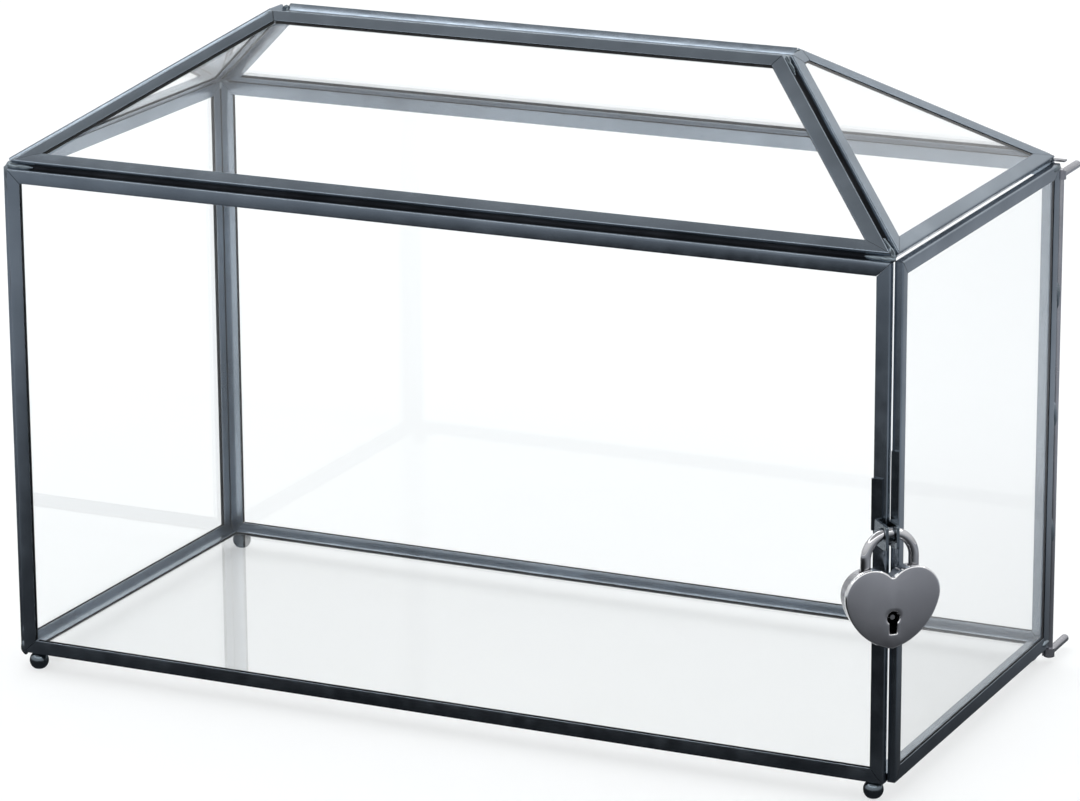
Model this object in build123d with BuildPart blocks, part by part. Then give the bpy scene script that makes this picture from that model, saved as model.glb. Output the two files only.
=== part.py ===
from build123d import *

import os
from math import atan2, degrees, sqrt

# Wedding card box: a small glass house with a card slot along its ridge, a glass
# door in the right end wall that turns on a long hinge pin, and a heart padlock
# through two hasp ears at the front right corner.
# Millimetres. +X points to the door, -Y to the front, +Z up. The finished pieces
# are moved so that the origin is the bottom centre of the whole object.

# ---- driving dimensions -------------------------------------------------------
box_length = 334.4        # between the corner lines where the walls would meet
box_depth = 154.6         # the same, front to back
wall_height = 180.4       # between the floor line and the eaves line
roof_rise = 46.8          # eaves line to ridge lines
slot_length = 197.6       # card slot along the ridge
slot_width = 9.6          # between the two ridge lines

glass_thickness = 2.0
channel_wall = 0.5        # sheet of the channel folded round each pane
channel_face = 5.0        # width of its two flanges
mitre_gap = 0.2           # open line where two rails meet
wall_inset = 0.1          # from a wall's frame to its corner lines
roof_inset = 0.45         # from a roof frame to its corner lines
glass_edge_gap = 0.5      # from the glass edge to the bottom of its channel
door_gap = 0.15           # door's inner face to the wall ends

foot_diameter = 7.0
foot_drop = 6.3           # ground to the underside of the walls
foot_flat = 2.9           # flat that a foot stands on
foot_end_gap = 4.6        # end of the wall to the middle of a foot

seam_start = 4.0          # corner to the end of a solder run
seam_fill = 0.5           # share of the groove's depth that solder fills

pin_diameter = 2.6
pin_play = 0.05           # radial, pin in eye
eye_wall = 0.65
eye_height = 3.2
eye_gap = 0.45            # eyes to the door's far edge and to the wall's end
post_diameter = 2.9
post_reach = 18.2         # hinge line to the end of a post
upper_eye_drop = 4.6      # top of the door to the middle of the upper eye
lower_eye_drop = 2.6      # underside of the walls to the middle of the lower eye
pin_overhang = 0.5        # pin past the eyes
bead_height = 9.0         # solder between pin and door
bead_width = 1.8
bead_count = 3
cap_thickness = 0.6
cap_lift = 0.4            # cap over the top of the door
cap_width = 2.6

ear_gauge = 1.0
ear_rim = 0.75            # metal of an ear above and outside its hole
ear_tail = 3.35           # and below it
front_ear_along = -5.3    # ears' places across the corner's diagonal
door_ear_along = -1.4
ear_clear = 0.11          # front wall's face to the foot of its ear
door_ear_start = 1.95
strap_gauge = 0.8
front_strap_width = 3.8
front_strap_inset = 1.5   # end of the front wall to the strap
front_strap_length = 18.0
door_strap_width = 2.8
door_strap_length = 27.2
strap_start = 1.2         # the same, to the foot of the straps

lock_height = 90.1        # underside of the walls to the middle of the shackle's top
lock_out = 6.7            # corner line to the middle of the shackle
lock_along = -3.1
wire_diameter = 3.5
wire_play = 0.4           # radial, shackle in ear hole
leg_pitch = 17.3
long_leg = 13.0           # depth of a leg inside the case
short_leg = 5.4
leg_play = 0.3
neck = 11.4               # top of the case to the shackle's middle line at its top

heart_half_width = 17.0
heart_height = 28.0
lobe_radius = 9.4
lobe_end_angle = -12.0
tip_radius = 1.6
cusp_radius = 1.2
tip_share = 1.4           # how much further a margin moves the pointed tip
shell_wall = 0.9
shell_play_back = 0.55    # shackle to the back of the case, inside
shell_play_front = 0.45   # and to the face plate
face_thickness = 1.4
shell_step = 0.8          # shell inside the edge of the face plate
edge_radius = 0.5
keyhole_drop = 17.0
keyhole_diameter = 4.6
keyhole_slot = 2.8
keyhole_length = 5.6
key_post_diameter = 1.7
case_pin_diameter = 1.8
case_pin_drop = 16.0
case_pin_half_pitch = 6.2
latch_drop = 3.9          # top of the case to the middle of the latch tip
latch_height = 1.3
latch_width = 2.4
latch_travel = 1.2        # from drawn back, as modelled, to home in the notch
notch_depth = 0.9
notch_play = 0.25
latch_inner = 3.0         # middle of the case to the latch's tail
tail_width = 1.4
tail_drop = 13.4
spring_gauge = 0.25

# ---- derived sizes ---------------------------------------------------------------
channel_depth = glass_thickness + 2 * channel_wall
x_wall = box_length / 2
y_wall = box_depth / 2
z_base = foot_drop                      # underside of the walls
z_floor = z_base - wall_inset
z_eaves = z_floor + wall_height
z_ridge = z_eaves + roof_rise
x_ridge = slot_length / 2
y_ridge = slot_width / 2
x_end = x_wall - wall_inset             # ends of the front and back walls
y_end = y_wall - wall_inset             # edges of the end walls and the door
x_door = x_wall + door_gap              # door's inner face
z_door_top = z_eaves - wall_inset

pieces = {}

os.makedirs("parts", exist_ok=True)


# ---- framed glass panes ------------------------------------------------------------
def inset(points, distance):
    """Move every side of a counter-clockwise polygon inwards by distance."""
    moved = []
    for i, here in enumerate(points):
        before, after = points[i - 1], points[(i + 1) % len(points)]
        u = (Vector(*here) - Vector(*before)).normalized()
        v = (Vector(*after) - Vector(*here)).normalized()
        sine = u.X * v.Y - u.Y * v.X
        slide = distance * (1 - u.dot(v)) / sine
        moved.append((here[0] - u.Y * distance - u.X * slide,
                      here[1] + u.X * distance - u.Y * slide))
    return moved


def pane_plane(corners):
    """Plane of a pane's inner face, with its normal pointing out of the box."""
    along = corners[1] - corners[0]
    up = corners[-1] - corners[0]
    return Plane(origin=corners[0], x_dir=along, z_dir=along.cross(up))


def pane_outline(corners, gap):
    """Outline of a pane's frame, in the pane's own plane."""
    flat = [pane_plane(corners).to_local_coords(corner) for corner in corners]
    return inset([(point.X, point.Y) for point in flat], gap)


def bar(start, end, width):
    """Corners of a thin bar from start to end."""
    side = (Vector(*end) - Vector(*start)).normalized().rotate(Axis.Z, 90) * (width / 2)
    return [(start[0] + side.X, start[1] + side.Y), (start[0] - side.X, start[1] - side.Y),
            (end[0] - side.X, end[1] - side.Y), (end[0] + side.X, end[1] + side.Y)]


def add_pane(name, corners, gap):
    """Glass pane and the mitred channel rails round it."""
    plane = pane_plane(corners)
    outline = pane_outline(corners, gap)
    with BuildPart() as frame:
        with BuildSketch(plane):
            Polygon(*outline, align=None)
            Polygon(*inset(outline, channel_face), align=None, mode=Mode.SUBTRACT)
        extrude(amount=channel_depth)
        with BuildSketch(plane.offset(channel_wall)):
            Polygon(*inset(outline, channel_wall), align=None)
        extrude(amount=glass_thickness, mode=Mode.SUBTRACT)
        with BuildSketch(plane):
            for start, end in zip(inset(outline, -channel_wall), inset(outline, channel_face + channel_wall)):
                Polygon(*bar(start, end, mitre_gap), align=None)
        extrude(amount=channel_depth, mode=Mode.SUBTRACT)
    pieces[f"{name}_frame"] = frame.part
    with BuildPart() as glass:
        with BuildSketch(plane.offset(channel_wall)):
            Polygon(*inset(outline, channel_wall + glass_edge_gap), align=None)
        extrude(amount=glass_thickness)
    pieces[f"{name}_glass"] = glass.part


def wall_corner(side_x, side_y, z):
    """Corner of the walls' inner shape."""
    return Vector(side_x * x_wall, side_y * y_wall, z)


def slot_corner(side_x, side_y):
    """Corner of the card slot."""
    return Vector(side_x * x_ridge, side_y * y_ridge, z_ridge)


low_front_left, low_front_right = wall_corner(-1, -1, z_floor), wall_corner(1, -1, z_floor)
low_back_left, low_back_right = wall_corner(-1, 1, z_floor), wall_corner(1, 1, z_floor)
top_front_left, top_front_right = wall_corner(-1, -1, z_eaves), wall_corner(1, -1, z_eaves)
top_back_left, top_back_right = wall_corner(-1, 1, z_eaves), wall_corner(1, 1, z_eaves)
door_shift = Vector(door_gap, 0, 0)

walls = {
    "front": [low_front_left, low_front_right, top_front_right, top_front_left],
    "back": [low_back_right, low_back_left, top_back_left, top_back_right],
    "left": [low_back_left, low_front_left, top_front_left, top_back_left],
}
roofs = {
    "roof_front": [top_front_left, top_front_right, slot_corner(1, -1), slot_corner(-1, -1)],
    "roof_back": [top_back_right, top_back_left, slot_corner(-1, 1), slot_corner(1, 1)],
    "roof_left": [top_back_left, top_front_left, slot_corner(-1, -1), slot_corner(-1, 1)],
    "roof_right": [top_front_right, top_back_right, slot_corner(1, 1), slot_corner(1, -1)],
}
for name, corners in walls.items():
    add_pane(name, corners, wall_inset)
for name, corners in roofs.items():
    add_pane(name, corners, roof_inset)
add_pane("door", [corner + door_shift for corner in
                  (low_front_right, low_back_right, top_back_right, top_front_right)], wall_inset)
# The base lies inside the walls and touches them: its plane faces down.
z_base_top = z_base + channel_depth
add_pane("base", [Vector(side_x * x_wall, side_y * y_wall, z_base_top)
                  for side_x, side_y in ((-1, 1), (1, 1), (1, -1), (-1, -1))], 0)


# ---- solder runs in the grooves between the fixed panes ---------------------------------
def groove_side(corners, gap, start, along):
    """Foot and head of a pane's edge web, at a point on one of its corner lines."""
    middle = sum(corners, Vector()) / len(corners)
    across = middle - start
    across = (across - along * across.dot(along)).normalized()
    foot = start + across * gap
    return foot, foot + pane_plane(corners).z_dir * (channel_depth * seam_fill)


def shared_line(first, second):
    """The two corner points that two panes have in common."""
    return [point for point in first if any((point - other).length < mitre_gap for other in second)]


joined = [("front", "left"), ("back", "left"), ("front", "roof_front"), ("back", "roof_back"),
          ("left", "roof_left"), ("roof_front", "roof_left"), ("roof_front", "roof_right"),
          ("roof_back", "roof_left"), ("roof_back", "roof_right")]
panes = {**{name: (corners, wall_inset) for name, corners in walls.items()},
         **{name: (corners, roof_inset) for name, corners in roofs.items()}}
with BuildPart() as corner_solder:
    for first, second in joined:
        start, end = shared_line(panes[first][0], panes[second][0])
        along = (end - start).normalized()
        place = start + along * seam_start
        foot_a, head_a = groove_side(*panes[first], place, along)
        foot_b, head_b = groove_side(*panes[second], place, along)
        plane = Plane(origin=place, x_dir=head_a - foot_a, z_dir=along)
        outline = [plane.to_local_coords(point) for point in (foot_a, head_a, head_b, foot_b)]
        with BuildSketch(plane):
            Polygon(*[(point.X, point.Y) for point in outline], align=None)
        extrude(amount=(end - start).length - 2 * seam_start)
pieces["corner_solder"] = corner_solder.part

# ---- ball feet under the front and back walls ---------------------------------------------
foot_middle = sqrt(foot_diameter ** 2 - foot_flat ** 2) / 2
for side_y, row_name in ((-1, "front"), (1, "back")):
    for side_x, end_name in ((-1, "left"), (1, "right")):
        with BuildPart() as foot:
            with Locations((side_x * (x_end - foot_end_gap), side_y * y_wall, foot_middle)):
                Sphere(foot_diameter / 2)
            split(bisect_by=Plane.XY, keep=Keep.TOP)
            split(bisect_by=Plane.XY.offset(z_base), keep=Keep.BOTTOM)
        pieces[f"foot_{row_name}_{end_name}"] = foot.part

# ---- hinge: a long pin soldered to the door turns in the eyes of two fixed posts ------------
bore_radius = pin_diameter / 2 + pin_play
eye_radius = bore_radius + eye_wall
hinge_x = x_end + eye_gap + eye_radius
hinge_y = y_end + eye_gap + eye_radius
y_back_face = y_wall + channel_depth
upper_eye = z_door_top - upper_eye_drop
lower_eye = z_base - lower_eye_drop
eye_plane = Plane(origin=(hinge_x, hinge_y, 0), x_dir=(1, 0, 0), z_dir=(0, 0, 1))

for name, z_eye, z_pad_end in (("upper", upper_eye, upper_eye), ("lower", lower_eye, z_base + eye_height)):
    with BuildPart() as post:
        with BuildSketch(Plane(origin=(hinge_x, hinge_y, z_eye), x_dir=(1, 0, 0), z_dir=(0, 1, 0))):
            Circle(post_diameter / 2)
        extrude(amount=post_reach)
        fillet(post.faces().sort_by(Axis.Y)[-1].edges(), post_diameter / 3)
        with BuildSketch(eye_plane.offset(z_eye - eye_height / 2)):
            Circle(eye_radius)
        extrude(amount=eye_height)
        with BuildSketch(Plane.XY.offset(z_eye - eye_height / 2)):
            with Locations((x_end, y_back_face)):
                Rectangle(eye_gap + eye_radius, y_back_face - hinge_y + eye_wall, align=(Align.MIN, Align.MAX))
        extrude(amount=eye_height / 2 + z_pad_end - z_eye + eye_height / 2)
        with BuildSketch(eye_plane.offset(z_eye - eye_height / 2)):
            Circle(bore_radius)
        extrude(amount=2 * eye_height + z_pad_end - z_eye, mode=Mode.SUBTRACT)
    pieces[f"hinge_post_{name}"] = post.part

pin_bottom = lower_eye - eye_height / 2 - pin_overhang
pin_top = upper_eye + eye_height / 2 + pin_overhang
bead_step = (upper_eye - z_base) / (bead_count + 1)
with BuildPart() as hinge_pin:
    with BuildSketch(eye_plane.offset(pin_bottom)):
        Circle(pin_diameter / 2)
    extrude(amount=pin_top - pin_bottom)
    for i in range(bead_count):
        with BuildSketch(Plane.XY.offset(z_base + (i + 1) * bead_step - bead_height / 2)):
            with Locations((hinge_x, y_end)):
                Rectangle(bead_width, hinge_y - y_end, align=(Align.CENTER, Align.MIN))
        extrude(amount=bead_height)
pieces["hinge_pin"] = hinge_pin.part

with BuildPart() as hinge_cap:
    with BuildSketch(Plane.XY.offset(z_door_top)):
        with Locations((x_end, y_back_face)):
            Rectangle(seam_start - cap_lift - wall_inset, cap_width, align=(Align.MAX, Align.MAX))
    extrude(amount=cap_lift + cap_thickness)
    with BuildSketch(Plane.XY.offset(z_door_top + cap_lift)):
        with Locations((x_end, y_back_face)):
            Rectangle(hinge_x + eye_radius - x_end, cap_width, align=(Align.MIN, Align.MAX))
    extrude(amount=cap_thickness)
pieces["hinge_cap"] = hinge_cap.part

# ---- hasp: a strap with an ear on the front wall, and one on the door's near edge -----------
# The ears stand out along the corner's diagonal; "along" runs across it.
corner_line = Vector(x_wall, -y_wall, 0)
out_dir = Vector(1, -1, 0).normalized()
along_dir = Vector(1, 1, 0).normalized()
z_hole = z_base + lock_height
hole_radius = wire_diameter / 2 + wire_play
ear_drop = hole_radius + ear_tail
ear_rise = hole_radius + ear_rim
ear_reach = lock_out + hole_radius + ear_rim
front_ear_start = front_ear_along + ear_gauge / 2 + (channel_depth + ear_clear) * sqrt(2)
half_spacing = (door_ear_along - front_ear_along) / 2
hole_drop = leg_pitch / 2 - sqrt((leg_pitch / 2) ** 2 - half_spacing ** 2)


def ear_plane(along):
    """Plane of one side of an ear: local X points out, local Y points down."""
    place = corner_line + along_dir * (along - ear_gauge / 2) + Vector(0, 0, z_hole)
    return Plane(origin=place, x_dir=out_dir, z_dir=along_dir)


def ear_sketch(start):
    """Ear from start outwards, with its hole and rounded end."""
    length = ear_reach - start
    with Locations((start + length / 2, (ear_drop - ear_rise) / 2)):
        RectangleRounded(length, ear_drop + ear_rise, ear_gauge)
    with Locations((lock_out, hole_drop)):
        Circle(hole_radius, mode=Mode.SUBTRACT)


y_front_face = -y_wall - channel_depth
with BuildPart() as hasp_front:
    with BuildSketch(ear_plane(front_ear_along)):
        ear_sketch(front_ear_start)
    extrude(amount=ear_gauge)
    with BuildSketch(Plane.XY.offset(z_hole - strap_start)):
        with Locations((x_end - front_strap_inset, y_front_face)):
            Rectangle(front_strap_width, strap_gauge, align=(Align.MAX, Align.MAX))
    extrude(amount=front_strap_length)
pieces["hasp_front"] = hasp_front.part

with BuildPart() as hasp_door:
    with BuildSketch(ear_plane(door_ear_along)):
        ear_sketch(door_ear_start)
    extrude(amount=ear_gauge)
    with BuildSketch(Plane.XY.offset(z_hole - strap_start)):
        with Locations((x_door + channel_depth / 2, -y_end)):
            Rectangle(door_strap_width, strap_gauge, align=(Align.CENTER, Align.MAX))
    extrude(amount=door_strap_length)
    bridge_place = corner_line + along_dir * (door_ear_along - ear_gauge / 2) + out_dir * door_ear_start
    bridge_plane = Plane(origin=bridge_place + Vector(0, 0, z_hole - strap_start),
                         x_dir=along_dir, z_dir=(0, 0, 1))
    with BuildSketch(bridge_plane):
        Rectangle(door_strap_width + ear_gauge, strap_gauge, align=(Align.MIN, Align.MAX))
    extrude(amount=strap_start + ear_rise)
pieces["hasp_door"] = hasp_door.part

# ---- heart padlock ----------------------------------------------------------------------------
# Its planes have local X along the corner, local Y up from the top of the case and
# local Z out of the corner.
z_case_top = z_hole - neck
wire_radius = wire_diameter / 2


def lock_plane(out):
    """Plane parallel to the padlock's face, at a distance out from the corner line."""
    place = corner_line + along_dir * lock_along + out_dir * out + Vector(0, 0, z_case_top)
    return Plane(origin=place, x_dir=along_dir, z_dir=out_dir)


def level_plane(drop):
    """Level plane below the top of the case: local X along, local Y towards the corner."""
    place = corner_line + along_dir * lock_along + out_dir * lock_out + Vector(0, 0, z_case_top - drop)
    return Plane(origin=place, x_dir=along_dir, z_dir=(0, 0, 1))


def heart_outline(margin=0.0):
    """Heart with round lobes, smooth sides and a rounded tip, smaller all round by margin."""
    lobe_x = heart_half_width - lobe_radius
    radius = lobe_radius - margin
    cusp_angle = degrees(atan2(sqrt(radius ** 2 - lobe_x ** 2), -lobe_x))
    with BuildSketch() as heart:
        with BuildLine():
            lobe = CenterArc((lobe_x, -lobe_radius), radius, lobe_end_angle, cusp_angle - lobe_end_angle)
            TangentArc(lobe @ 0, (0, -heart_height + tip_share * margin), tangent=(lobe % 0) * -1)
            mirror(about=Plane.YZ)
        make_face()
        fillet(heart.vertices().sort_by(Axis.Y)[0], tip_radius)
        middle = heart.vertices().filter_by_position(Axis.X, -tip_radius / 2, tip_radius / 2)
        fillet(middle.sort_by(Axis.Y)[-1], cusp_radius + margin)
    return heart.sketch


heart_face = heart_outline()
shell_outside = heart_outline(shell_step)
shell_inside = heart_outline(shell_step + shell_wall)
shell_back_gap = lock_out - wire_radius - shell_play_back - shell_wall
shell_depth = shell_wall + shell_play_back + wire_diameter + shell_play_front
shell_front = shell_back_gap + shell_depth
leg_radius = wire_radius + leg_play

with BuildPart() as case_back:
    with BuildSketch(lock_plane(shell_back_gap)):
        add(shell_outside)
    extrude(amount=shell_depth)
    fillet(case_back.faces().sort_by(Axis(corner_line, out_dir))[0].edges(), edge_radius)
    with BuildSketch(lock_plane(shell_back_gap + shell_wall)):
        add(shell_inside)
    extrude(amount=shell_depth - shell_wall, mode=Mode.SUBTRACT)
    with BuildSketch(level_plane(lobe_radius / 2)):
        with Locations((-leg_pitch / 2, 0), (leg_pitch / 2, 0)):
            Circle(leg_radius)
    extrude(amount=lobe_radius, mode=Mode.SUBTRACT)
pieces["padlock_case"] = case_back.part

with BuildPart() as face_plate:
    with BuildSketch(lock_plane(shell_front)):
        add(heart_face)
        with Locations((0, -keyhole_drop)):
            Circle(keyhole_diameter / 2, mode=Mode.SUBTRACT)
            Rectangle(keyhole_slot, keyhole_length, align=(Align.CENTER, Align.MAX), mode=Mode.SUBTRACT)
    extrude(amount=face_thickness)
pieces["padlock_face"] = face_plate.part

with BuildPart() as key_post:
    with BuildSketch(lock_plane(shell_back_gap + shell_wall)):
        with Locations((0, -keyhole_drop)):
            Circle(key_post_diameter / 2)
    extrude(amount=shell_depth - shell_wall + face_thickness - edge_radius)
pieces["key_post"] = key_post.part

with BuildPart() as case_pins:
    with BuildSketch(lock_plane(shell_back_gap + shell_wall)):
        with Locations((-case_pin_half_pitch, -case_pin_drop), (case_pin_half_pitch, -case_pin_drop)):
            Circle(case_pin_diameter / 2)
    extrude(amount=shell_depth - shell_wall)
pieces["case_pins"] = case_pins.part

with BuildPart() as shackle:
    with BuildLine(lock_plane(lock_out)):
        bend = neck - leg_pitch / 2
        Line((-leg_pitch / 2, -long_leg), (-leg_pitch / 2, bend))
        ThreePointArc((-leg_pitch / 2, bend), (0, neck), (leg_pitch / 2, bend))
        Line((leg_pitch / 2, bend), (leg_pitch / 2, -short_leg))
    with BuildSketch(level_plane(long_leg)):
        with Locations((-leg_pitch / 2, 0)):
            Circle(wire_radius)
    sweep()
    with BuildSketch(lock_plane(lock_out - wire_radius)):
        with Locations((leg_pitch / 2 - wire_radius, -latch_drop)):
            Rectangle(notch_depth, latch_height + 2 * notch_play, align=(Align.MIN, Align.CENTER))
    extrude(amount=wire_diameter, mode=Mode.SUBTRACT)
pieces["shackle"] = shackle.part

latch_tip = leg_pitch / 2 - wire_radius + notch_depth - notch_play - latch_travel
with BuildPart() as latch:
    with BuildSketch(lock_plane(lock_out - latch_width / 2)):
        with Locations((latch_tip, -latch_drop)):
            Rectangle(latch_tip - latch_inner, latch_height, align=(Align.MAX, Align.CENTER))
        with Locations((latch_inner, -latch_drop + latch_height / 2)):
            Rectangle(tail_width, tail_drop - latch_drop, align=(Align.MIN, Align.MAX))
    extrude(amount=latch_width)
pieces["latch"] = latch.part

with BuildPart() as latch_spring:
    with BuildSketch(lock_plane(lock_out - latch_width / 4)):
        with Locations((latch_inner, -latch_drop - latch_height)):
            Rectangle(spring_gauge, tail_drop - 2 * latch_drop, align=(Align.MAX, Align.MAX))
            Rectangle(tail_width, spring_gauge, align=(Align.MAX, Align.MAX))
    extrude(amount=latch_width / 2)
pieces["latch_spring"] = latch_spring.part

# ---- origin at the bottom centre of the whole object -------------------------------------------
boxes = [piece.bounding_box() for piece in pieces.values()]
shift = Vector(-(min(box.min.X for box in boxes) + max(box.max.X for box in boxes)) / 2,
               -(min(box.min.Y for box in boxes) + max(box.max.Y for box in boxes)) / 2,
               -min(box.min.Z for box in boxes))
for name, piece in pieces.items():
    moved = piece.moved(Location(shift))
    moved.label = name
    export_step(moved, f"parts/{name}.step")

print("moved by", [round(value, 3) for value in shift])
print("hinge line", [round(value, 3) for value in (hinge_x + shift.X, hinge_y + shift.Y)])
swing = corner_line + along_dir * lock_along + out_dir * lock_out + Vector(0, 0, z_hole - hole_drop) + shift
print("shackle swing", [round(value, 3) for value in swing])
print("slot", x_ridge, y_ridge, z_ridge)
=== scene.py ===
# %% [markdown]
# # A glass card box, finished in Blender
#
# The box is a small glass house: nine panes, each held in a thin channel of dark plated
# metal, soldered together at the corners, with a door in one end and a heart padlock. The
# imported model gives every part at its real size. It stays as it is, and this lesson gives
# it finishes and swaps the plain frames, solder, feet, pin and padlock face for finer ones
# of the same size.

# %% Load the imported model
import math
import random

import bmesh
import bpy
from mathutils import Matrix, Vector, noise


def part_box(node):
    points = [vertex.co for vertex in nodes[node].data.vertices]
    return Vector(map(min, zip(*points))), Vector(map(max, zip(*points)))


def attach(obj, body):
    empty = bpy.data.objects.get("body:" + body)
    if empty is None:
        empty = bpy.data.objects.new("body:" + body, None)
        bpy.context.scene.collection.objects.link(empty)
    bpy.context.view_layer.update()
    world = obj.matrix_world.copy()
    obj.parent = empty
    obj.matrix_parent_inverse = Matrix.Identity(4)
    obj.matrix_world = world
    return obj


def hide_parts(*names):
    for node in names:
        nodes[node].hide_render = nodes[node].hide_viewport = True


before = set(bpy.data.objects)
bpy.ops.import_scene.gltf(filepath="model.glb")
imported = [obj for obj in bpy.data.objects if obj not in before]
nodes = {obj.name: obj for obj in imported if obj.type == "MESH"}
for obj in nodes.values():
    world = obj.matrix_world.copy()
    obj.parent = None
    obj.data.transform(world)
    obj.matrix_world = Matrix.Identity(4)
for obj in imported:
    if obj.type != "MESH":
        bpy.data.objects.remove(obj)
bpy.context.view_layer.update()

MM = 0.001

# %% [markdown]
# The camera comes first, because everything else is judged through it. It is a long lens
# from well back, as a catalogue studio would use, so the box's edges stay nearly
# parallel. Its place could be found by dragging it about, but here the turn round the box,
# the height and the distance are written down, measured from the middle of the walls'
# underside, so the view follows the box.

# %% Camera
VIEW_TURN = math.radians(25.27)
VIEW_DROP = math.radians(15.92)
VIEW_ROLL = math.radians(-0.35)
LENS = 160.6
SENSOR_WIDTH = 36
EYE_FROM_WALLS = Vector((0.7112, -1.5002, 0.5671))
FARTHEST_SEEN = 50

wall_low, wall_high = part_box("front_frame")
_, back_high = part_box("back_frame")
walls_middle = Vector(((wall_low.x + wall_high.x) / 2, (wall_low.y + back_high.y) / 2, wall_low.z))

look = Vector((-math.sin(VIEW_TURN) * math.cos(VIEW_DROP),
               math.cos(VIEW_TURN) * math.cos(VIEW_DROP), -math.sin(VIEW_DROP)))
level = Vector((math.cos(VIEW_TURN), math.sin(VIEW_TURN), 0))
up = level.cross(look)
right = level * math.cos(VIEW_ROLL) + up * math.sin(VIEW_ROLL)
up = up * math.cos(VIEW_ROLL) - level * math.sin(VIEW_ROLL)

camera_data = bpy.data.cameras.new("camera")
camera_data.lens = LENS
camera_data.sensor_width = SENSOR_WIDTH
camera = bpy.data.objects.new("camera", camera_data)
camera.matrix_world = Matrix((
    (right.x, up.x, -look.x, 0), (right.y, up.y, -look.y, 0), (right.z, up.z, -look.z, 0),
    (0, 0, 0, 1)))
camera.location = walls_middle + EYE_FROM_WALLS
camera_data.clip_end = FARTHEST_SEEN
bpy.context.collection.objects.link(camera)
bpy.context.scene.camera = camera
print("camera at", [round(value, 3) for value in camera.location])

# %% [markdown]
# The box stands on a pale table in an evenly lit white room. Clear glass and dark metal
# show little of their own: they show the room. A sky that is bright half way up, and dimmer
# overhead and at the horizon, gives the metal strips their light and dark stripes, which a
# plain white world would wash out. One narrow, very bright band is the row of lamps that
# draws thin white lines on folds, rods and rims. The floor is one large plane, so its edge
# shows only in a view from very low down, and it glows of itself, as a lit table does, which
# keeps its shadows faint.

# %% Floor and sky
FLOOR_HALF = 12.0

floor_mesh = bpy.data.meshes.new("floor")
floor_mesh.from_pydata([(-FLOOR_HALF, -FLOOR_HALF, 0), (FLOOR_HALF, -FLOOR_HALF, 0),
                        (FLOOR_HALF, FLOOR_HALF, 0), (-FLOOR_HALF, FLOOR_HALF, 0)], [], [(0, 1, 2, 3)])
floor = bpy.data.objects.new("floor", floor_mesh)
bpy.context.collection.objects.link(floor)

paper = bpy.data.materials.new("floor_paper")
paper.use_nodes = True
paper_shader = paper.node_tree.nodes["Principled BSDF"]
paper_shader.inputs["Base Color"].default_value = (0.32, 0.325, 0.33, 1)
paper_shader.inputs["Emission Color"].default_value = (0.99, 1.0, 1.0, 1)
paper_shader.inputs["Emission Strength"].default_value = 0.62
paper_shader.inputs["Roughness"].default_value = 0.9
paper_shader.inputs["Specular IOR Level"].default_value = 0.1
floor_mesh.materials.append(paper)

SKY_BANDS = ((0.0, 0.9), (0.5, 0.62), (0.6, 0.85), (0.74, 1.0), (0.8, 0.95), (0.81, 5.0), (0.83, 5.0),
             (0.84, 0.7), (0.95, 0.44), (1.0, 0.4))
SKY_TINT = (0.985, 0.995, 1.0)

world = bpy.data.worlds.new("studio")
bpy.context.scene.world = world
world.use_nodes = True
sky = world.node_tree
sky_place = sky.nodes.new("ShaderNodeTexCoord")
sky_parts = sky.nodes.new("ShaderNodeSeparateXYZ")
sky_height = sky.nodes.new("ShaderNodeMapRange")
sky_ramp = sky.nodes.new("ShaderNodeValToRGB")
sky_height.inputs["From Min"].default_value = -1
sky.links.new(sky_place.outputs["Generated"], sky_parts.inputs[0])
sky.links.new(sky_parts.outputs["Z"], sky_height.inputs["Value"])
sky.links.new(sky_height.outputs[0], sky_ramp.inputs["Fac"])
sky.links.new(sky_ramp.outputs["Color"], sky.nodes["Background"].inputs["Color"])
while len(sky_ramp.color_ramp.elements) < len(SKY_BANDS):
    sky_ramp.color_ramp.elements.new(0.5)
for band, (height, light) in zip(sky_ramp.color_ramp.elements, SKY_BANDS):
    band.position = height
    band.color = (*(light * part for part in SKY_TINT), 1)
print("sky of", len(SKY_BANDS), "bands")

# %% [markdown]
# Polished metal on a white floor would mirror the floor and turn white. A studio lays black
# cards round the object, just outside the picture, so that its upright faces go dark. This
# card lies on the floor all round the box and is seen by reflections alone: darkest in
# front of the box, and paler further out.

# %% Black card for the reflections
CARD_HALF = 2.5
CARD_HEIGHT = 0.5 * MM
CARD_SHIFT = (0.0, 0.22, 0)
CARD_STRETCH = (1.3, 1.0, 1.0)
CARD_BANDS = ((0.0, 0.015), (0.18, 0.03), (0.32, 0.09), (0.45, 0.24), (0.6, 0.42), (0.75, 0.52),
              (1.0, 0.46))
CARD_TINT = (0.93, 0.98, 1.05)

card_mesh = bpy.data.meshes.new("black_card")
card_mesh.from_pydata([(side_x * CARD_HALF, side_y * CARD_HALF, CARD_HEIGHT)
                       for side_x, side_y in ((-1, -1), (1, -1), (1, 1), (-1, 1))], [], [(0, 1, 2, 3)])
card = bpy.data.objects.new("black_card", card_mesh)
bpy.context.collection.objects.link(card)
card.visible_camera = card.visible_diffuse = card.visible_transmission = card.visible_shadow = False

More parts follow.
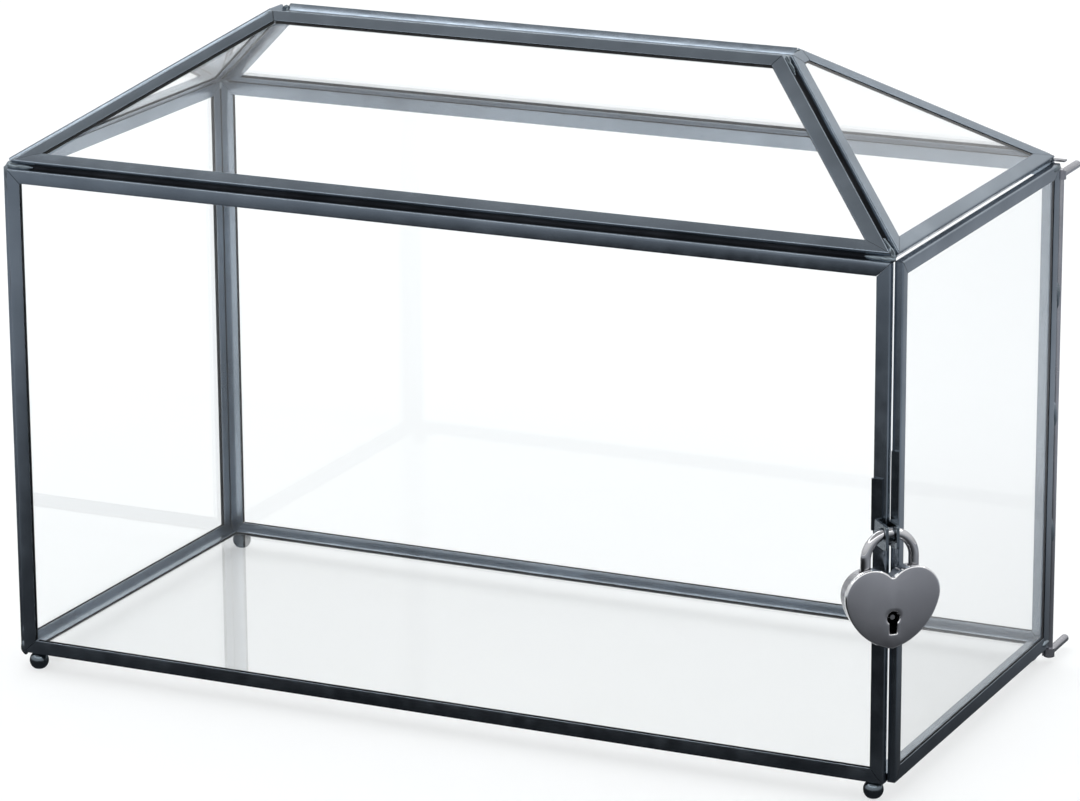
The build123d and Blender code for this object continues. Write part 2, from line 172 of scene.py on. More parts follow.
card_paint = bpy.data.materials.new("card_paint")
card_paint.use_nodes = True
paint = card_paint.node_tree
paint.nodes.remove(paint.nodes["Principled BSDF"])
paint_glow = paint.nodes.new("ShaderNodeEmission")
paint_place = paint.nodes.new("ShaderNodeTexCoord")
paint_map = paint.nodes.new("ShaderNodeMapping")
paint_reach = paint.nodes.new("ShaderNodeVectorMath")
paint_reach.operation = "LENGTH"
paint_map.inputs["Location"].default_value = CARD_SHIFT
paint_map.inputs["Scale"].default_value = CARD_STRETCH
paint_ramp = paint.nodes.new("ShaderNodeValToRGB")
paint.links.new(paint_place.outputs["Object"], paint_map.inputs["Vector"])
paint.links.new(paint_map.outputs[0], paint_reach.inputs[0])
paint.links.new(paint_reach.outputs["Value"], paint_ramp.inputs["Fac"])
paint.links.new(paint_ramp.outputs["Color"], paint_glow.inputs["Color"])
paint.links.new(paint_glow.outputs[0], paint.nodes["Material Output"].inputs["Surface"])
while len(paint_ramp.color_ramp.elements) < len(CARD_BANDS):
    paint_ramp.color_ramp.elements.new(0.5)
for band, (reach, light) in zip(paint_ramp.color_ramp.elements, CARD_BANDS):
    band.position = reach
    band.color = (*(light * part for part in CARD_TINT), 1)
card_mesh.materials.append(card_paint)
print("black card,", CARD_HALF * 2, "metres across")

# %% [markdown]
# One broad soft light from above and behind gives the floor its white and the box its faint
# shadow. It is a sun with a very wide disc, so it lights the whole floor evenly, and it is
# hidden from reflections, which already have the sky. The Standard view keeps the table's
# white as white as it was lit.

# %% Top light
SUN_TILT_BACK, SUN_TILT_LEFT = math.radians(-22), math.radians(-14)

sun_data = bpy.data.lights.new("top_light", "SUN")
sun_data.energy = 1.5
sun_data.angle = math.radians(70)
sun = bpy.data.objects.new("top_light", sun_data)
sun.rotation_euler = (SUN_TILT_BACK, SUN_TILT_LEFT, 0)
sun.visible_glossy = False
bpy.context.collection.objects.link(sun)
bpy.context.scene.view_settings.view_transform = "Standard"
print("top light of strength", sun_data.energy)

# %% [markdown]
# Every finish below is a small node tree built by hand. This helper starts one: it makes a
# material with a Principled shader, sets the plain sockets, and hands back the tree so that
# a finish can add its own texture nodes. The textures use object coordinates in metres, so
# scratches and stains keep their real size on every piece.

# %% Starting a finish


def start_finish(name, **sockets):
    """A new material whose shader has the given socket values."""
    material = bpy.data.materials.new(name)
    material.use_nodes = True
    shader = material.node_tree.nodes["Principled BSDF"]
    for socket, value in sockets.items():
        shader.inputs[socket.replace("_", " ")].default_value = value
    return material, material.node_tree, shader


# %% [markdown]
# These four helpers add texture to a finish: a cloud of noise, a ramp that turns it into
# colours, a rescale that turns it into a roughness, and a bump that turns it into relief.

# %% Textures for a finish


def cloud(tree, size, stretch=(1, 1, 1), detail=4.0):
    """Noise whose blobs are about size metres across; returns its value socket."""
    place = tree.nodes.new("ShaderNodeTexCoord")
    mapping = tree.nodes.new("ShaderNodeMapping")
    mapping.inputs["Scale"].default_value = stretch
    texture = tree.nodes.new("ShaderNodeTexNoise")
    texture.inputs["Scale"].default_value = 1 / size
    texture.inputs["Detail"].default_value = detail
    tree.links.new(place.outputs["Object"], mapping.inputs["Vector"])
    tree.links.new(mapping.outputs[0], texture.inputs["Vector"])
    return texture.outputs["Fac"]


def ramp(tree, value, low, high, dark, light):
    """Colours from dark to light as value goes from low to high."""
    node = tree.nodes.new("ShaderNodeValToRGB")
    first, last = node.color_ramp.elements
    first.position, last.position = low, high
    first.color, last.color = (*dark, 1), (*light, 1)
    tree.links.new(value, node.inputs["Fac"])
    return node.outputs["Color"]


def rescale(tree, value, low, high, start=0.3, end=0.7):
    """value from start..end mapped to low..high."""
    node = tree.nodes.new("ShaderNodeMapRange")
    node.inputs["From Min"].default_value = start
    node.inputs["From Max"].default_value = end
    node.inputs["To Min"].default_value = low
    node.inputs["To Max"].default_value = high
    tree.links.new(value, node.inputs["Value"])
    return node.outputs[0]


def add_bump(tree, shader, value, depth, strength=1.0):
    """Raises the surface by depth metres where value is 1."""
    node = tree.nodes.new("ShaderNodeBump")
    node.inputs["Strength"].default_value = strength
    node.inputs["Distance"].default_value = depth
    tree.links.new(value, node.inputs["Height"])
    tree.links.new(node.outputs[0], shader.inputs["Normal"])


# %% [markdown]
# The strip is brass or steel with a dark blue-grey plating, rubbed to a soft shine on its
# faces. Plating like this is never one colour: it clouds from blue-black to slate, and it
# carries fine rubbing marks. A cloudy colour, a cloudy roughness and a very shallow bump
# give that. Deep in the grooves and on the flanges' lips the colour is near black, as
# painted shade, and the finish is duller; that is what draws the box's black lines.

# %% Finishes for the dark metal
STAIN_SIZE = 30 * MM
WEAR_SIZE = 6 * MM
MARK_SIZE = 1.2 * MM
MARK_STRENGTH = 0.35


def plated_finish(name, dark, light, smooth, rough, mark_depth=0.02 * MM):
    """Clouded dark plating with rubbing marks."""
    material, tree, shader = start_finish(name, Metallic=1.0)
    stain = cloud(tree, STAIN_SIZE, detail=6.0)
    tree.links.new(ramp(tree, stain, 0.35, 0.7, dark, light), shader.inputs["Base Color"])
    wear = cloud(tree, WEAR_SIZE, detail=3.0)
    tree.links.new(rescale(tree, wear, smooth, rough), shader.inputs["Roughness"])
    marks = cloud(tree, MARK_SIZE, detail=2.0)
    add_bump(tree, shader, marks, mark_depth, MARK_STRENGTH)
    return material


strip_finish = plated_finish("rubbed_dark_plating", (0.215, 0.252, 0.295), (0.29, 0.335, 0.385), 0.15, 0.26)
# painted shade: near black in the channel's depth, at the mitre ends and on the solder runs
groove_painted_shade = plated_finish("painted_groove_shade", (0.006, 0.007, 0.009), (0.018, 0.02, 0.024), 0.35, 0.55)
# painted shade: near black on the flanges' lips and under the outer flange, against the glass
lip_painted_shade = plated_finish("painted_lip_shade", (0.008, 0.01, 0.012), (0.02, 0.023, 0.028), 0.3, 0.5)
solder_finish = plated_finish("plated_solder", (0.14, 0.17, 0.19), (0.26, 0.3, 0.34), 0.18, 0.28, 0.03 * MM)
wire_finish = plated_finish("drawn_wire", (0.36, 0.36, 0.39), (0.5, 0.5, 0.54), 0.16, 0.28)
fitting_finish = plated_finish("dark_fitting", (0.08, 0.1, 0.115), (0.18, 0.21, 0.24), 0.14, 0.26)
print("dark metals made")

# %% [markdown]
# The panes are plain 2 mm sheet glass: clear and smooth, with the faintest cool tint. A
# Principled shader with full transmission bends light as a real slab does. A
# slow ripple far too shallow to blur the view keeps the reflections from being dead flat.
# Cycles would let a slab of glass block the lamps, so the panes cast no shadow, as clear
# glass hardly does.

# %% Finish for the glass
HAZE_SIZE = 200 * MM
RIPPLE_SIZE, RIPPLE_DEPTH, RIPPLE_STRENGTH = 120 * MM, 0.03 * MM, 0.2


def glass_finish():
    """Clear sheet glass with a faint cool tint."""
    material, tree, shader = start_finish("sheet_glass", Transmission_Weight=1.0, IOR=1.45, Roughness=0.0)
    haze = cloud(tree, HAZE_SIZE, detail=1.0)
    tint = ramp(tree, haze, 0.3, 0.7, (0.982, 0.99, 0.992), (0.992, 0.997, 0.997))
    tree.links.new(tint, shader.inputs["Base Color"])
    ripple = cloud(tree, RIPPLE_SIZE, detail=0.0)
    add_bump(tree, shader, ripple, RIPPLE_DEPTH, RIPPLE_STRENGTH)
    return material


sheet_glass = glass_finish()


def coat(node, material):
    """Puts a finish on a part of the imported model."""
    slots = nodes[node].material_slots
    for slot in slots:
        slot.material = material
    if not slots:
        nodes[node].data.materials.append(material)


PANES = ("base", "front", "back", "left", "door", "roof_front", "roof_back", "roof_left", "roof_right")
for pane in PANES:
    coat(f"{pane}_glass", sheet_glass)
    nodes[f"{pane}_glass"].visible_shadow = False
print(len(PANES), "panes glazed")

# %% [markdown]
# Each pane sits in a strip folded into a U. A plain extruded U looks too sharp: the real
# strip has rounded folds that catch a bright line of light, and a raw lip that lies on the
# glass. So each rail is swept here from a rounded section, from mitre to mitre. The pane
# itself says where its rails go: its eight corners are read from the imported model, and the
# frame's outline is theirs moved outwards by the gap and the sheet's thickness.

# %% Outline of a frame, read from its pane
SHEET = 0.5 * MM
EDGE_GAP = 0.5 * MM
FACE = 5.0 * MM
FOLD = 0.5 * MM
INNER_FOLD = 0.2 * MM
LIP_ROUND = 0.12 * MM
CROWN = 0.24 * MM
CROWN_STEPS = 5
GLASS_CLEAR = 0.03 * MM
MITRE = 0.12 * MM
GLASS_THICKNESS = 2 * MM
SAME_POINT = 0.1 * MM
INSIDE_HEIGHT = 90 * MM


def pane_corners(pane):
    """Corners of a pane's inner side, in order, and the direction out of the box."""
    points = []
    for vertex in nodes[f"{pane}_glass"].data.vertices:
        if all((vertex.co - point).length > SAME_POINT for point in points):
            points.append(vertex.co.copy())
    middle = sum(points, Vector()) / len(points)
    faces = nodes[f"{pane}_glass"].data.polygons
    normal = max(faces, key=lambda face: face.area).normal.copy()
    if normal.dot(middle - inside_point) < 0:
        normal.negate()
    inner = [point for point in points if (point - middle).dot(normal) < 0]
    first = (inner[0] - middle).normalized()
    second = normal.cross(first)
    inner.sort(key=lambda point: math.atan2((point - middle).dot(second), (point - middle).dot(first)))
    return inner, normal


def moved_outline(corners, normal, distance):
    """The outline with every side moved inwards by distance."""
    moved = []
    for i, here in enumerate(corners):
        before = (here - corners[i - 1]).normalized()
        after = (corners[(i + 1) % len(corners)] - here).normalized()
        slide = distance * (1 - before.dot(after)) / before.cross(after).dot(normal)
        moved.append(here + normal.cross(before) * distance - before * slide)
    return moved


inside_point = Vector((walls_middle.x, walls_middle.y, wall_low.z + INSIDE_HEIGHT))
print("front pane's corners:", [[round(value, 4) for value in point] for point in pane_corners("front")[0]])

# %% [markdown]
# The section is a closed loop of (inwards, outwards) steps: round the inner
# fold, along the web, round the outer fold, along the flange to its lip, and back inside.
# Folds are short arcs. The outer flange is not flat: folding leaves it faintly crowned, and
# the crown spreads the reflections from light to dark across its width. Points know whether
# they lie on a face, deep in the channel or on the lip, and the faces swept from them get
# the matching finish, which deep in the channel and on the lip is near-black painted shade.

# %% Section of the channel
FACE_SLOT, GROOVE_SLOT, LIP_SLOT = 0, 1, 2
ARC_STEPS = 5


def arc(centre, radius, start, end):
    """Points of a round fold, as (inwards, outwards)."""
    steps = [start + (end - start) * i / ARC_STEPS for i in range(ARC_STEPS + 1)]
    return [(centre[0] + radius * math.cos(step), centre[1] + radius * math.sin(step)) for step in steps]


def channel_section(depth):
    """Closed loop round the folded sheet, with the finish of the stretch after each point."""
    quarter = math.pi / 2
    loop = []
    loop += [(point, FACE_SLOT) for point in arc((FACE - LIP_ROUND, LIP_ROUND), LIP_ROUND, 0, -quarter)]
    loop += [(point, FACE_SLOT)
             for point in arc((INNER_FOLD, INNER_FOLD), INNER_FOLD, -quarter, -2 * quarter)]
    loop += [(point, FACE_SLOT) for point in arc((FOLD, depth - FOLD), FOLD, 2 * quarter, quarter)]
    for i in range(1, CROWN_STEPS):
        share = i / CROWN_STEPS
        loop.append(((FOLD + (FACE - LIP_ROUND - FOLD) * share, depth - CROWN * share ** 2), FACE_SLOT))
    loop += [(point, FACE_SLOT)
             for point in arc((FACE - LIP_ROUND, depth - CROWN - LIP_ROUND), LIP_ROUND, quarter, 0)]
    loop[-1] = (loop[-1][0], LIP_SLOT)
    loop += [((FACE, depth - SHEET + GLASS_CLEAR), LIP_SLOT),
             ((SHEET, depth - SHEET + GLASS_CLEAR), GROOVE_SLOT),
             ((SHEET, SHEET - GLASS_CLEAR), FACE_SLOT), ((FACE, SHEET - GLASS_CLEAR), LIP_SLOT)]
    return loop


print("points round the section:", len(channel_section(2 * SHEET + GLASS_THICKNESS)))

# %% [markdown]
# A hand-folded strip is not a ruled line: it wanders by a few hundredths of a millimetre,
# which is what makes its reflections run unevenly along the edge. Each rail is divided
# along its length and its two broad faces are nudged by smooth noise, far less than the eye
# would call bent.

# %% Sweep the rails
STATION = 9 * MM
WANDER = 0.035 * MM
WANDER_LENGTH = 24 * MM


def sweep_rail(mesh, corners, normal, depth, side):
    """One rail of a frame, from the mitre at corner side to the next one."""
    loop = channel_section(depth)
    rows = []
    for (inwards, outwards), _ in loop:
        outline = moved_outline(corners, normal, inwards)
        start, end = outline[side], outline[(side + 1) % len(outline)]
        along = (end - start).normalized()
        start, end = start + along * MITRE, end - along * MITRE
        count = max(2, round((corners[(side + 1) % len(corners)] - corners[side]).length / STATION))
        row = []
        for i in range(count + 1):
            point = start.lerp(end, i / count) + normal * outwards
            if 0 < i < count and (outwards > depth - FOLD or outwards < INNER_FOLD):
                point += normal * noise.noise(point / WANDER_LENGTH) * WANDER
            row.append(mesh.verts.new(point))
        rows.append(row)
    for k, (_, finish) in enumerate(loop):
        here, following = rows[k], rows[(k + 1) % len(rows)]
        for i in range(len(here) - 1):
            face = mesh.faces.new((here[i], here[i + 1], following[i + 1], following[i]))
            face.material_index = finish
            face.smooth = True
    for row_end in (0, -1):
        cap = mesh.faces.new([row[row_end] for row in rows])
        # the mitre ends get the channel's near-black painted shade
        cap.material_index = GROOVE_SLOT


def finished_object(name, mesh, finishes, smooth_angle=35):
    """Turns a bmesh into an object with its finishes."""
    bmesh.ops.recalc_face_normals(mesh, faces=mesh.faces)
    data = bpy.data.meshes.new(name)
    mesh.to_mesh(data)
    mesh.free()
    for finish in finishes:
        data.materials.append(finish)
    made = bpy.data.objects.new(name, data)
    bpy.context.collection.objects.link(made)
    data.set_sharp_from_angle(angle=math.radians(smooth_angle))
    return made


def add_rails(pane):
    """The four rails of a pane, as one piece in place of the plain frame."""
    inner, normal = pane_corners(pane)
    corners = [point - normal * SHEET for point in moved_outline(inner, normal, -(SHEET + EDGE_GAP))]
    depth = 2 * SHEET + GLASS_THICKNESS
    mesh = bmesh.new()
    for side in range(len(corners)):
        sweep_rail(mesh, corners, normal, depth, side)
    rails = finished_object(f"{pane}_rails", mesh, [strip_finish, groove_painted_shade, lip_painted_shade])
    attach(rails, "door" if pane == "door" else "root")
    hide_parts(f"{pane}_frame")
    return corners, normal


frames = {pane: add_rails(pane) for pane in PANES}
print("rails swept for", len(frames), "panes")

# %% [markdown]
# Where the frames meet, solder fills the end of each groove and stands up in uneven lumps.
# A row of spheres would look like beads on a string. Instead a bead is a short lathe-like
# form, fat in the middle and thin at its ends, whose skin is pushed in and out by noise, so
# no two are alike. At both ends of a soldered groove there are two: a short fat one in the
# corner and a longer, thinner one next to it.

# %% Lumps of solder
SHARED_CORNER = 4 * MM
LUMP_RISE = 1.05 * MM
LUMP_ROUGHNESS = 0.2
END_LUMPS = ((1.6, 5.4, 1.35), (5.6, 8.0, 0.95))


def add_lump(mesh, middle, along, length, radius, seed):
    """An uneven bead of solder centred on middle, running along a groove."""
    turn = along.to_track_quat("Z", "Y").to_matrix().to_4x4()
    place = Matrix.Translation(middle) @ turn
    made = bmesh.ops.create_icosphere(mesh, subdivisions=3, radius=1.0)
    for vertex in made["verts"]:
        rough = 1 + LUMP_ROUGHNESS * noise.noise(vertex.co * 1.1 + Vector((seed, 0, 0)))
        vertex.co = place @ Vector((vertex.co.x * radius * rough, vertex.co.y * radius * rough,
                                    vertex.co.z * length / 2 * rough))
    for face in {face for vertex in made["verts"] for face in vertex.link_faces}:
        face.smooth = True


def groove_ends(first, second):
    """The pairs of corners at which two frames meet, at both ends of their groove."""
    ends = [(a, b) for a in frames[first][0] for b in frames[second][0]
            if (a - b).length < SHARED_CORNER]
    if len(ends) != 2:
        raise ValueError(f"{first} and {second} share {len(ends)} corners")
    return ends


JOINS = (("front", "left"), ("back", "left"), ("front", "roof_front"), ("back", "roof_back"),
         ("left", "roof_left"), ("roof_front", "roof_left"), ("roof_front", "roof_right"),
         ("roof_back", "roof_left"), ("roof_back", "roof_right"))


def add_join(mesh, first, second, seed):
    """Beads at both ends of the groove that two frames share."""
    middles = [(a + b) / 2 for a, b in groove_ends(first, second)]
    out = (frames[first][1] + frames[second][1]).normalized()
    for k, (start, end) in enumerate((middles, middles[::-1])):
        along = (end - start).normalized()
        rng = random.Random(seed * 10 + k)
        for reach, length, radius in END_LUMPS:
            reach *= rng.uniform(0.85, 1.15) * MM
            add_lump(mesh, start + along * reach + out * LUMP_RISE, along,
                     length * rng.uniform(0.85, 1.2) * MM, radius * rng.uniform(0.9, 1.1) * MM,
                     rng.uniform(0, 50))


print("grooves to solder:", len(JOINS))

# %% [markdown]
# From end to end the groove is filled with a plain run of solder, sunk below the strips'
# faces and dull, so no light comes through a fixed corner. It is coloured near black as
# painted shade in the groove. Its cross-section is five points: up one frame's edge, a
# hollow middle, and down the other's.

# %% Solder along the grooves
RUN_DEPTH = 1.5 * MM
RUN_HOLLOW = 0.35 * MM
RUN_STATION = 7 * MM
RUN_WANDER, RUN_WANDER_LENGTH = 0.25, 15 * MM
# the run's faces take the grooves' near-black painted shade
RUN_SLOT = 1


def add_run(mesh, first, second):
    """Solder that fills the groove between two frames, from corner to corner."""
    normal, other_normal = frames[first][1], frames[second][1]
    ends = groove_ends(first, second)
    count = round((ends[0][0] - ends[1][0]).length / RUN_STATION)
    rows = []
    for i in range(count + 1):
        foot = ends[0][0].lerp(ends[1][0], i / count)
        other_foot = ends[0][1].lerp(ends[1][1], i / count)
        rise = RUN_DEPTH * (1 + RUN_WANDER * noise.noise(foot / RUN_WANDER_LENGTH))
        head, other_head = foot + normal * rise, other_foot + other_normal * rise
        middle = (head + other_head) / 2 - (normal + other_normal).normalized() * RUN_HOLLOW
        rows.append([mesh.verts.new(point) for point in (foot, head, middle, other_head, other_foot)])
    for here, following in zip(rows, rows[1:]):
        for k in range(len(here)):
            j = (k + 1) % len(here)
            face = mesh.faces.new((here[k], here[j], following[j], following[k]))
            face.material_index = RUN_SLOT
            face.smooth = True
    for row in (rows[0], rows[-1]):
        mesh.faces.new(row).material_index = RUN_SLOT


solder = bmesh.new()
for seed, (first, second) in enumerate(JOINS):
    add_join(solder, first, second, seed)
    add_run(solder, first, second)
solder_lumps = finished_object("solder_lumps", solder, [solder_finish, groove_painted_shade], 60)
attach(solder_lumps, "root")
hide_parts("corner_solder")
print("solder lumps:", len(solder_lumps.data.polygons), "faces")

# %% [markdown]
# The feet are little cast balls with a flat above and below, soldered to the bottom rail. A
# lathe profile gives the ball and its flats. Two of them are close to the camera, so they
# are turned with plenty of steps.

# %% Ball feet
FOOT_STEPS = 40
BALL_STEPS = 20
SOLE_SHARE = 0.92


def turned(name, profile, centre, steps, finishes):
    """A lathed solid from (radius, height) pairs, which starts and ends on the axis."""
    mesh = bmesh.new()
    rows = []
    for radius, height in profile:
        if radius == 0:
            rows.append([mesh.verts.new(centre + Vector((0, 0, height)))])
        else:
            angles = [2 * math.pi * i / steps for i in range(steps)]
            ring = [Vector((radius * math.cos(a), radius * math.sin(a), height)) for a in angles]
            rows.append([mesh.verts.new(centre + point) for point in ring])
    for low, high in zip(rows, rows[1:]):
        for i in range(steps):
            j = (i + 1) % steps
            quad = [low[i % len(low)], low[j % len(low)], high[j % len(high)], high[i % len(high)]]
            face = mesh.faces.new(list(dict.fromkeys(quad)))
            face.smooth = True
    return finished_object(name, mesh, finishes, 50)


for foot in ("front_left", "front_right", "back_left", "back_right"):
    low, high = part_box(f"foot_{foot}")
    radius = (high.x - low.x) / 2
    height = high.z - low.z
    centre_height = height / 2
    flat = math.sqrt(max(0, radius ** 2 - centre_height ** 2))
    start = math.atan2(-centre_height, flat)
    turns = [start - 2 * start * i / BALL_STEPS for i in range(BALL_STEPS + 1)]
    ball = [(radius * math.cos(turn), centre_height + radius * math.sin(turn)) for turn in turns]
    profile = [(0, 0), (ball[0][0] * SOLE_SHARE, 0)] + ball[1:-1] + [(ball[-1][0], height), (0, height)]
    middle = Vector(((low.x + high.x) / 2, (low.y + high.y) / 2, low.z))
    piece = turned(f"ball_foot_{foot}", profile, middle, FOOT_STEPS, [fitting_finish])
    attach(piece, "root")
    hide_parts(f"foot_{foot}")
print("four feet turned")

# %% [markdown]
# The hinge's posts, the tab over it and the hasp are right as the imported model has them. They
# only need a finish and the soft edges of cut and filed metal, which a Bevel modifier gives
# without touching the part itself.

# %% Hinge posts and hasp
SOFT_ANGLE = math.radians(40)
HASP_ROUND = 0.25 * MM
HINGE_ROUND = 0.12 * MM


def soften(node, width, segments=2):
    """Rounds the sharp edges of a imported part."""
    bevel = nodes[node].modifiers.new("soft_edges", "BEVEL")
    bevel.width = width
    bevel.segments = segments
    bevel.limit_method = "ANGLE"
    bevel.angle_limit = SOFT_ANGLE


for node in ("hasp_front", "hasp_door"):
    coat(node, fitting_finish)
    soften(node, HASP_ROUND, 3)
for node in ("hinge_post_upper", "hinge_post_lower", "hinge_cap"):
    coat(node, wire_finish)
    soften(node, HINGE_ROUND)
print("hasp edges rounded to", HASP_ROUND, "and hinge edges to", HINGE_ROUND, "metres")

# %% [markdown]
# The long hinge pin is plain wire with rounded ends, held to the door's edge by three beads
# of solder, and more solder closes the door's two far corners. The plain part shows square
# beads, so the pin is turned again and its beads are made as lumps, as at the box's corners.

# %% Hinge pin and its solder
PIN_ROUND = 0.5 * MM
PIN_STEPS = 32
BEADS = 3
BEAD_LENGTH, BEAD_RADIUS = 10 * MM, 1.25 * MM
CORNER_BEAD_LENGTH, CORNER_BEAD_RADIUS = 7.5 * MM, 1.15 * MM
CORNER_BEAD_IN = Vector((0.5, 3.4, 0)) * MM
UPPER_BEAD_DROP, LOWER_BEAD_RISE = 1.2 * MM, 2.6 * MM
UPPER_EYE_DROP = 4.6 * MM

pin_low, pin_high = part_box("hinge_pin")
door_low, door_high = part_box("door_frame")
pin_radius = (pin_high.x - pin_low.x) / 2
pin_length = pin_high.z - pin_low.z
pin_foot = Vector((pin_low.x + pin_radius, pin_high.y - pin_radius, pin_low.z))
pin_profile = [(0, 0), (pin_radius - PIN_ROUND, 0), (pin_radius - 0.15 * PIN_ROUND, 0.3 * PIN_ROUND),
               (pin_radius, PIN_ROUND), (pin_radius, pin_length / 2)]
pin_profile += [(radius, pin_length - height) for radius, height in pin_profile[-2::-1]]
pin_rod = turned("pin_rod", pin_profile, pin_foot, PIN_STEPS, [wire_finish])
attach(pin_rod, "door")
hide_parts("hinge_pin")

beads = bmesh.new()
bead_step = (door_high.z - UPPER_EYE_DROP - door_low.z) / (BEADS + 1)
bead_y = (door_high.y + pin_foot.y) / 2
for i in range(BEADS):
    add_lump(beads, Vector((pin_foot.x, bead_y, door_low.z + (i + 1) * bead_step)), Vector((0, 0, 1)),
             BEAD_LENGTH, BEAD_RADIUS, 60 + i)
for end, height in enumerate((door_high.z - UPPER_BEAD_DROP, door_low.z + LOWER_BEAD_RISE)):
    corner = Vector((door_high.x, door_high.y, height)) - CORNER_BEAD_IN
    add_lump(beads, corner, Vector((0, 1, 0)), CORNER_BEAD_LENGTH, CORNER_BEAD_RADIUS, 70 + end)
pin_solder = finished_object("pin_solder", beads, [solder_finish], 60)
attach(pin_solder, "door")
print("hinge pin:", round(pin_length * 1000, 1), "mm long")

# %% [markdown]
# The padlock's plating is smoother and greyer than the box's: satin on its face, and
# polished on the shackle and round the edge of the face, where hands rub it. The rounded
# edge is also much lighter than the face, partly as a painted highlight.

# %% Padlock finishes
heart_finish = plated_finish("gunmetal_heart", (0.4, 0.4, 0.425), (0.48, 0.48, 0.505), 0.2, 0.25, 0.003 * MM)
# polished, and lighter than the face partly as a painted highlight
rim_polish_and_highlight = plated_finish("polished_rim_painted_highlight", (0.72, 0.72, 0.74), (0.85, 0.85, 0.86), 0.05, 0.1, 0.003 * MM)
rim_finish = plated_finish("gunmetal_rim", (0.3, 0.3, 0.32), (0.42, 0.42, 0.44), 0.14, 0.22, 0.008 * MM)
shackle_finish = plated_finish("bright_shackle", (0.46, 0.46, 0.48), (0.6, 0.6, 0.62), 0.04, 0.08, 0.004 * MM)
steel_finish = plated_finish("plain_steel", (0.2, 0.2, 0.21), (0.4, 0.4, 0.4), 0.1, 0.2)
for node, finish in (("shackle", shackle_finish), ("padlock_case", rim_finish), ("key_post", steel_finish),
                     ("case_pins", steel_finish), ("latch", steel_finish), ("latch_spring", steel_finish)):
    coat(node, finish)
print("padlock finished")

# %% [markdown]
# The heart's face is pressed sheet: faintly domed, with a rolled rim that shows as a bright
# line and a keyhole whose lip is pressed in. A flat plate can't show that soft gradient. The
# plate is built as rings, from the rim inwards to the keyhole. Every ring has the same
# number of points, so neighbouring rings join in plain quads and shade smoothly. The
# outline is two round lobes with a rounded notch between them, and a large arc from each
# lobe to the rounded tip.

# %% Outline of the heart
LOBE_RADIUS = 9.4 * MM
HALF_WIDTH = 17.0 * MM
LOBE_X = HALF_WIDTH - LOBE_RADIUS
HEART_HEIGHT = 28.0 * MM
LOBE_END = math.radians(-12)
NOTCH_ROUND = 1.2 * MM
TIP_ROUND = 1.6 * MM
NOTCH_POINTS, LOBE_POINTS, SIDE_POINTS, TIP_POINTS = 4, 44, 36, 7


def heart_half():
    """Right half of the heart's outline, from the notch down to the tip, in its own plane."""
    centre = Vector((LOBE_X, -LOBE_RADIUS))
    notch = Vector((0, centre.y + math.sqrt((LOBE_RADIUS + NOTCH_ROUND) ** 2 - LOBE_X ** 2)))
    notch_end = math.atan2(centre.y - notch.y, LOBE_X)
    points = []
    for i in range(NOTCH_POINTS):
        turn = -math.pi / 2 + (notch_end + math.pi / 2) * i / NOTCH_POINTS
        points.append(notch + NOTCH_ROUND * Vector((math.cos(turn), math.sin(turn))))
    lobe_start = notch_end + math.pi
    for i in range(LOBE_POINTS):
        turn = lobe_start + (LOBE_END - lobe_start) * i / (LOBE_POINTS - 1)
        points.append(centre + LOBE_RADIUS * Vector((math.cos(turn), math.sin(turn))))
    inwards = (centre - points[-1]).normalized()
    chord = Vector((0, -HEART_HEIGHT)) - points[-1]
    side_radius = chord.length_squared / (2 * chord.dot(inwards))
    side_centre = points[-1] + inwards * side_radius
    tip_y = side_centre.y - math.sqrt((side_radius - TIP_ROUND) ** 2 - side_centre.x ** 2)
    tip_turn = math.atan2(tip_y - side_centre.y, -side_centre.x)
    for i in range(1, SIDE_POINTS + 1):
        turn = LOBE_END + (tip_turn - LOBE_END) * i / SIDE_POINTS
        points.append(side_centre + side_radius * Vector((math.cos(turn), math.sin(turn))))
    for i in range(1, TIP_POINTS + 1):
        turn = tip_turn + (-math.pi / 2 - tip_turn) * i / TIP_POINTS
        points.append(Vector((0, tip_y)) + TIP_ROUND * Vector((math.cos(turn), math.sin(turn))))
    return points


half = heart_half()
heart_loop = half + [Vector((-point.x, point.y)) for point in half[-2:0:-1]]
print("heart outline:", len(heart_loop), "points")

# %% [markdown]
# Moving the outline inwards along its own normals gives the rim's rings, and a ray from the
# keyhole's centre through each outline point gives the matching point of the keyhole, which
# is a circle with a slot below it.

# %% Domed face with its keyhole
KEYHOLE_Y = -17.0 * MM
KEYHOLE_RADIUS = 2.3 * MM
SLOT_HALF = 1.4 * MM
SLOT_LENGTH = 5.6 * MM
RIM_ROUND = 0.55 * MM
DOME = 0.5 * MM
LIP_BEVEL = 0.25 * MM
RIM_STEPS = 5
DOME_STEPS = 12
LIP_AND_BACK_STRIPS = 4
LIP_SHARE = 0.4
FACE_THICKNESS = 1.4 * MM


def heart_ring(margin):
    """The outline moved inwards by margin."""
    ring = []
    for i, point in enumerate(heart_loop):
        along = heart_loop[(i + 1) % len(heart_loop)] - heart_loop[i - 1]
        ring.append(point + Vector((along.y, -along.x)).normalized() * margin)
    return ring


def keyhole_ring(grow):
    """Points of the keyhole, one for each point of the heart's outline."""
    ring = []
    for point in heart_loop:
        way = (point - Vector((0, KEYHOLE_Y))).normalized()
        reach = KEYHOLE_RADIUS + grow
        if way.y < 0:
            slot_reach = min((SLOT_HALF + grow) / max(abs(way.x), 0.001), (SLOT_LENGTH + grow) / -way.y)
            reach = max(reach, slot_reach)
        ring.append(Vector((0, KEYHOLE_Y)) + way * reach)
    return ring


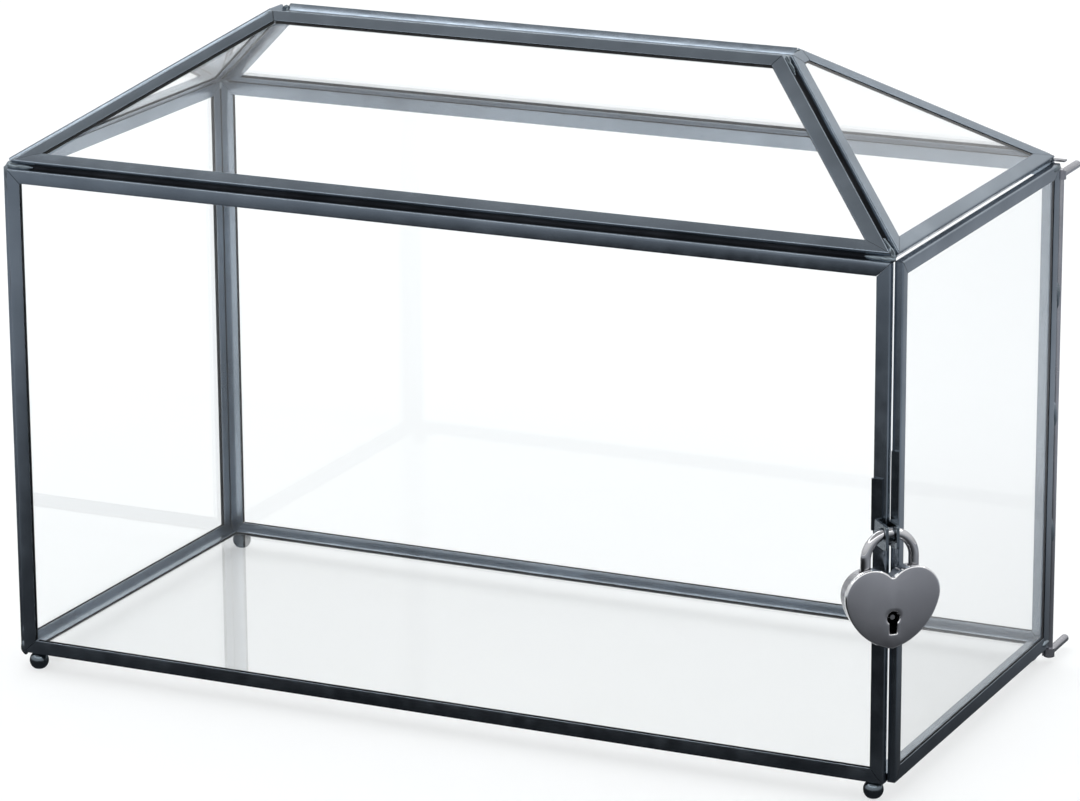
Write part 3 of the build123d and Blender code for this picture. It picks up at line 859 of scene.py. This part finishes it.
def face_rings(thickness):
    """Rings of the plate, as (points, height), from its back edge round to the keyhole's wall."""
    rings = [(heart_ring(0), 0), (heart_ring(0), thickness - RIM_ROUND)]
    for i in range(1, RIM_STEPS + 1):
        turn = math.pi / 2 * i / RIM_STEPS
        height = thickness - RIM_ROUND * (1 - math.sin(turn))
        rings.append((heart_ring(RIM_ROUND * (1 - math.cos(turn))), height))
    rim, lip = rings[-1][0], keyhole_ring(LIP_BEVEL)
    for i in range(1, DOME_STEPS + 1):
        share = i / DOME_STEPS
        ring = [a.lerp(b, share) for a, b in zip(rim, lip)]
        rings.append((ring, thickness + DOME * (1 - (1 - share) ** 2)))
    top = thickness + DOME
    rings += [(keyhole_ring(LIP_BEVEL * LIP_SHARE), top - LIP_BEVEL * LIP_SHARE),
              (keyhole_ring(0), top - LIP_BEVEL), (keyhole_ring(0), 0)]
    return rings


print("rings of the face:", len(face_rings(FACE_THICKNESS)))

# %% [markdown]
# The padlock hangs at the box's corner and looks straight out of it, half way between the
# front and the door, so the plate is built in that direction. Its rounded edge and the
# keyhole's lip and wall are polished and much lighter, partly as a painted highlight, and
# the plate between them is satin.

# %% Build the face
face_low, face_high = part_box("padlock_face")
ALONG = Vector((1, 1, 0)).normalized()
OUT = Vector((1, -1, 0)).normalized()
PLATE_SLOT, RIM_SLOT = 0, 1
face_middle = (face_low + face_high) / 2
face_back = Vector((face_middle.x, face_middle.y, face_high.z)) - OUT * FACE_THICKNESS / 2

face_mesh = bmesh.new()
rings = [[face_mesh.verts.new(face_back + ALONG * point.x + Vector((0, 0, point.y)) + OUT * height)
          for point in ring] for ring, height in face_rings(FACE_THICKNESS)]
for k, (here, following) in enumerate(zip(rings, rings[1:] + rings[:1])):
    for i in range(len(here)):
        j = (i + 1) % len(here)
        face = face_mesh.faces.new((here[i], here[j], following[j], following[i]))
        face.smooth = True
        polished_and_highlit = k <= RIM_STEPS or k >= len(rings) - LIP_AND_BACK_STRIPS
        face.material_index = RIM_SLOT if polished_and_highlit else PLATE_SLOT
heart_face = finished_object("heart_face", face_mesh, [heart_finish, rim_polish_and_highlight], 38)
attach(heart_face, "padlock")
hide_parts("padlock_face")
print("heart face:", len(heart_face.data.polygons), "faces")
